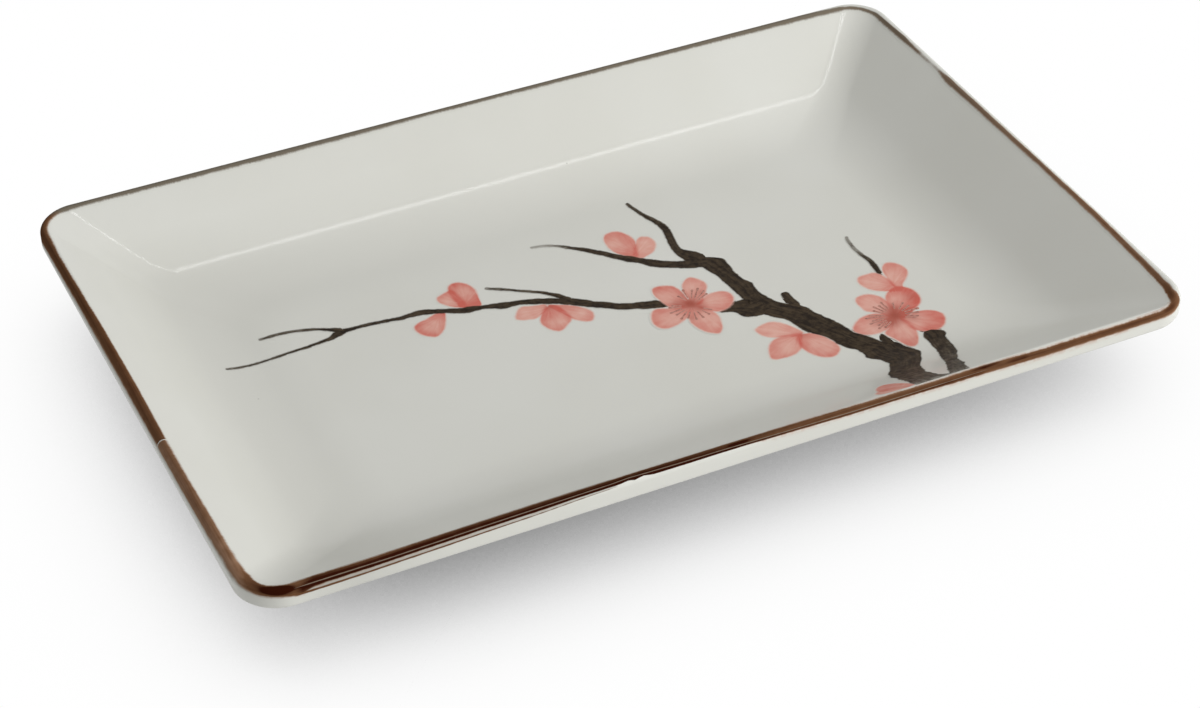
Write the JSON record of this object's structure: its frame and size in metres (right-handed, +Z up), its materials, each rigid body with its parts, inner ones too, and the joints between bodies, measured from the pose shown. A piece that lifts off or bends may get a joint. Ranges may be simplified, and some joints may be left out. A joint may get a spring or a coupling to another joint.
{
  "type": "sushi plate",
  "caption": "Rectangular glazed porcelain sushi plate with sloping walls, a painted brown lip, a foot ring and a blossoming branch painted across the floor.",
  "frame": {"origin": "middle of the plate's outline at table height, under the floor", "axes": "+X along the length, +Y along the width towards the back edge, +Z up"},
  "size_m": [0.21, 0.137, 0.025],
  "materials": {
    "white_glaze": "glossy clear glaze over white porcelain",
    "bare_porcelain": "unglazed, smoothed standing ring",
    "brown_enamel": "hand-brushed brown lip line, glossy",
    "dark_enamel": "brush-painted dark brown, under clear glaze",
    "pink_enamel": "wash of pink, under clear glaze"
  },
  "bodies": {
    "root": {"dish": "white_glaze", "foot_ring": "bare_porcelain", "rim_line": "brown_enamel", "trunk": "dark_enamel", "second_stem": "dark_enamel", "top_twig": "dark_enamel", "upper_limb": "dark_enamel", "limb_root": "dark_enamel", "long_limb": "dark_enamel", "fork_twig": "dark_enamel", "spur_twig": "dark_enamel", "right_twig": "dark_enamel", "open_blossom": "pink_enamel", "right_blossom": "pink_enamel", "right_pair": "pink_enamel", "trunk_trio": "pink_enamel", "limb_trio": "pink_enamel", "upper_bud": "pink_enamel", "lower_bud": "pink_enamel", "upper_pair": "pink_enamel", "rim_petals": "pink_enamel"}
  },
  "joints": []
}
